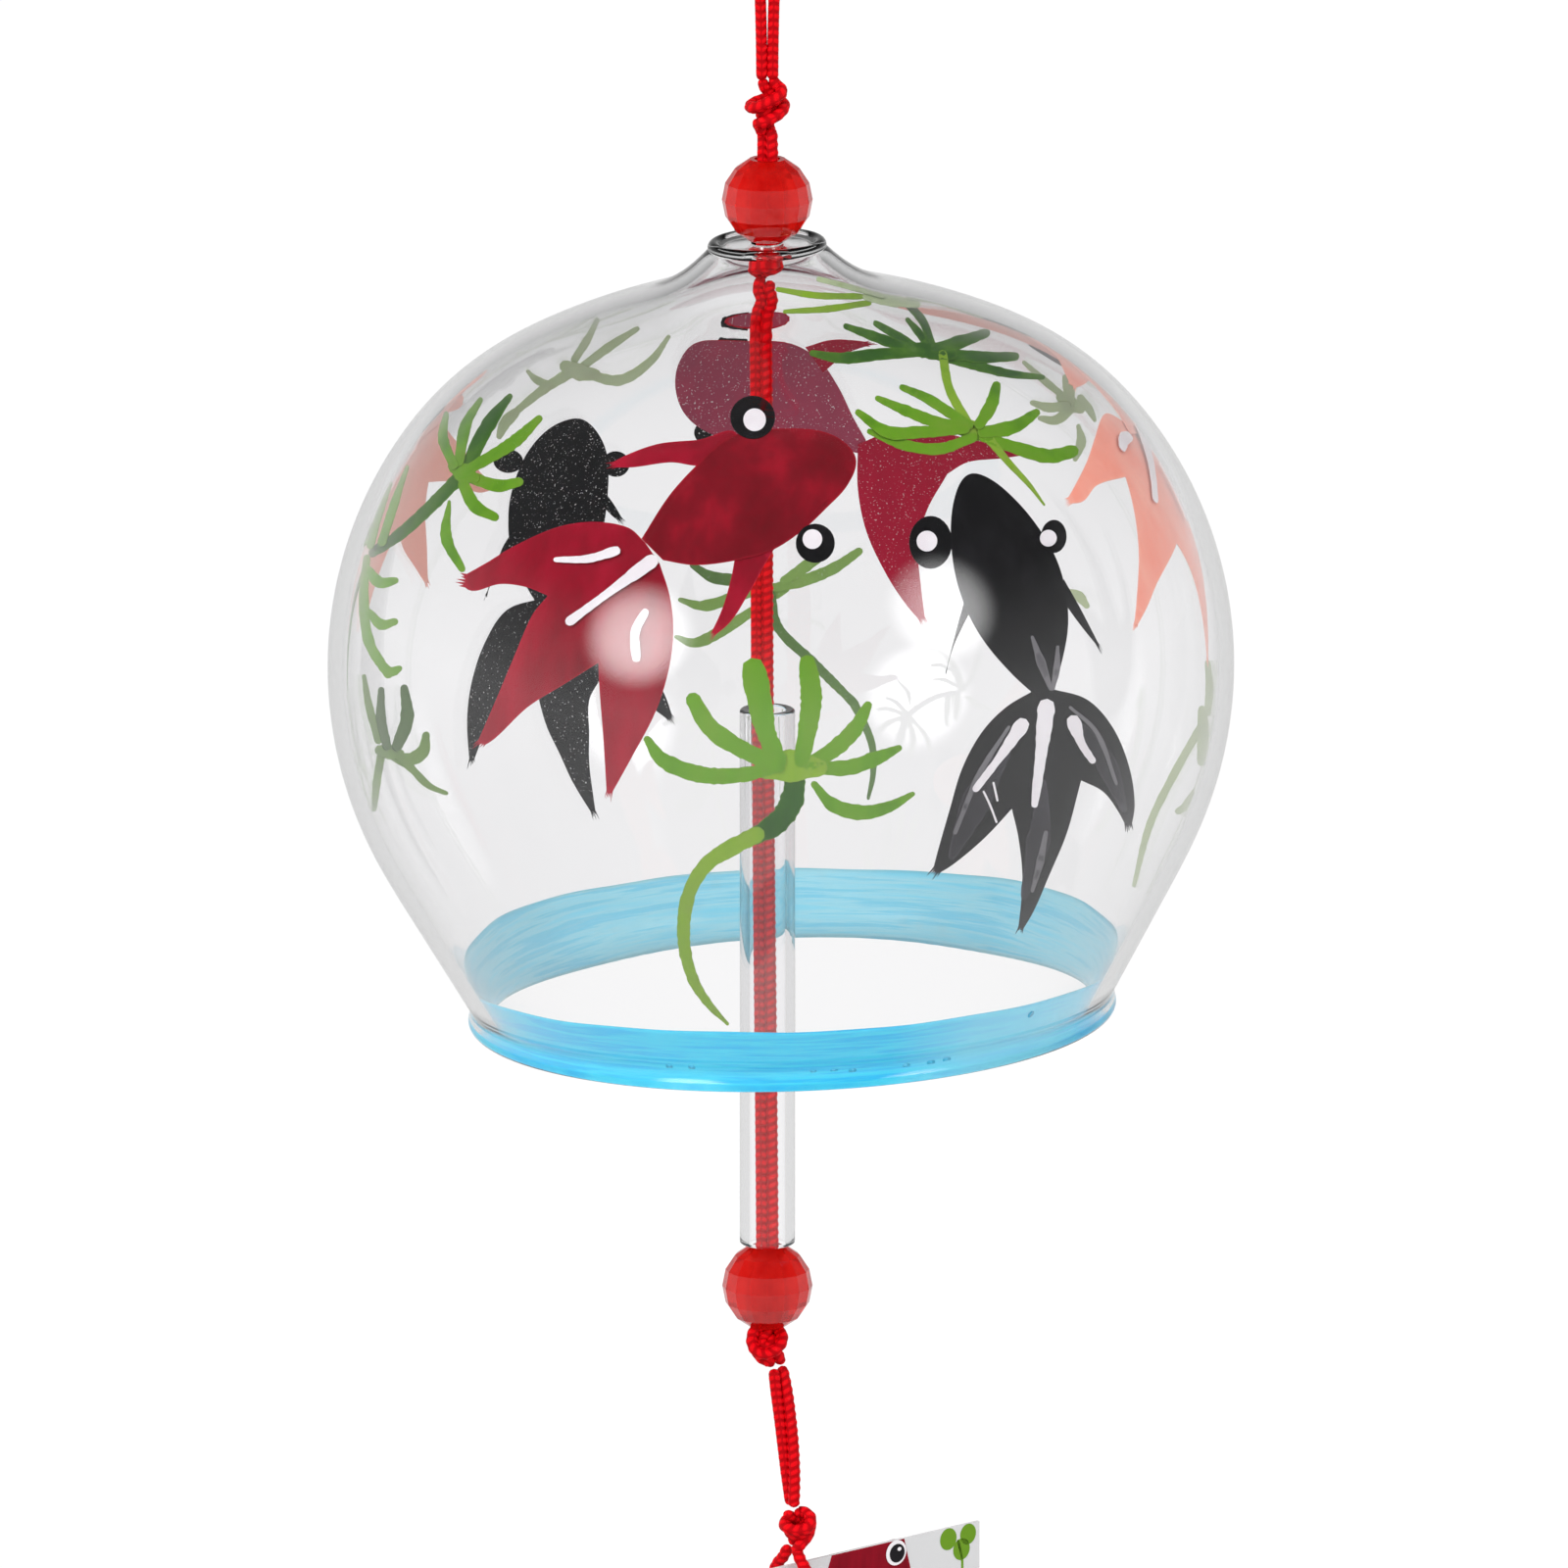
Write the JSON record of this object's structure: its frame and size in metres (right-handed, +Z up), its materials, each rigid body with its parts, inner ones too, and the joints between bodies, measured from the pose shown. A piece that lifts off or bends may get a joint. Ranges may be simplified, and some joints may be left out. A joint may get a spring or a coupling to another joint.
{
  "type": "wind bell",
  "caption": "Blown glass wind bell on a doubled cord, with a sliding glass tube clapper, faceted beads and a paper strip that catches the wind.",
  "frame": {"origin": "hang point, at the inside of the crown of the hanging loop", "axes": "+Z up along the cord, front of the bell towards -Y, bell's foot leaning towards +X"},
  "size_m": [0.08, 0.08, 0.3256],
  "materials": {
    "cord": "braided nylon cord, red",
    "bead": "clear red acrylic, faceted and polished",
    "glass": "clear blown glass with painted goldfish and water weed",
    "band": "see-through sky blue coat, brushed on",
    "tube": "clear glass tube with melted ends",
    "paper": "stiff white card with a printed goldfish and leaves"
  },
  "bodies": {
    "hanger": {"hanging_loop": "cord"},
    "top_knot": {"top_knot": "cord"},
    "bell": {"neck_cord": "cord", "glass_bell": "glass", "rim_band": "band"},
    "top_bead": {"top_bead": "bead"},
    "stopper": {"stopper_knot": "cord"},
    "clapper": {"clapper_cord": "cord"},
    "tube": {"clapper_tube": "tube"},
    "lower_bead": {"lower_bead": "bead"},
    "lower_knot": {"lower_knot": "cord"},
    "tail": {"tail_cord": "cord"},
    "strip": {"tie_knot": "cord", "tie_loop": "cord", "paper_strip": "paper"}
  },
  "joints": [
    {"name": "bell_turn", "type": "hinge", "parent": "hanger", "child": "top_knot", "pos_m": [0, 0, -0.05215], "axis": [0, 0, 1], "range_deg": [-180, 180]},
    {"name": "bell_swing", "type": "hinge", "parent": "top_knot", "child": "bell", "pos_m": [0, 0, -0.0551], "axis": [1, 0, 0], "range_deg": [-25, 25]},
    {"name": "top_bead_slide", "type": "slide", "parent": "bell", "child": "top_bead", "axis": [0, 0, 1], "range_m": [0, 0.0016]},
    {"name": "clapper_turn", "type": "hinge", "parent": "bell", "child": "stopper", "pos_m": [0, 0, -0.06543], "axis": [-0.0321, 0, 0.9995], "range_deg": [-180, 180]},
    {"name": "clapper_swing", "type": "hinge", "parent": "stopper", "child": "clapper", "pos_m": [0, 0, -0.06848], "axis": [0, 1, 0], "range_deg": [-21.9, 18.2]},
    {"name": "tube_slide", "type": "slide", "parent": "clapper", "child": "tube", "axis": [0, 0, 1], "range_m": [0, 0.0378]},
    {"name": "lower_bead_spin", "type": "hinge", "parent": "clapper", "child": "lower_bead", "pos_m": [0, 0, -0.15905], "axis": [0, 0, 1], "continuous": true},
    {"name": "tail_turn", "type": "hinge", "parent": "clapper", "child": "lower_knot", "pos_m": [0, 0, -0.16446], "axis": [0, 0, 1], "range_deg": [-180, 180]},
    {"name": "tail_swing", "type": "hinge", "parent": "lower_knot", "child": "tail", "pos_m": [0.0009, 0, -0.16686], "axis": [0.7373, 0.6756, 0], "range_deg": [-60, 60]},
    {"name": "strip_flap", "type": "hinge", "parent": "tail", "child": "strip", "pos_m": [0.0022, 0, -0.17896], "axis": [0.7373, 0.6756, 0], "range_deg": [-60, 60]}
  ]
}
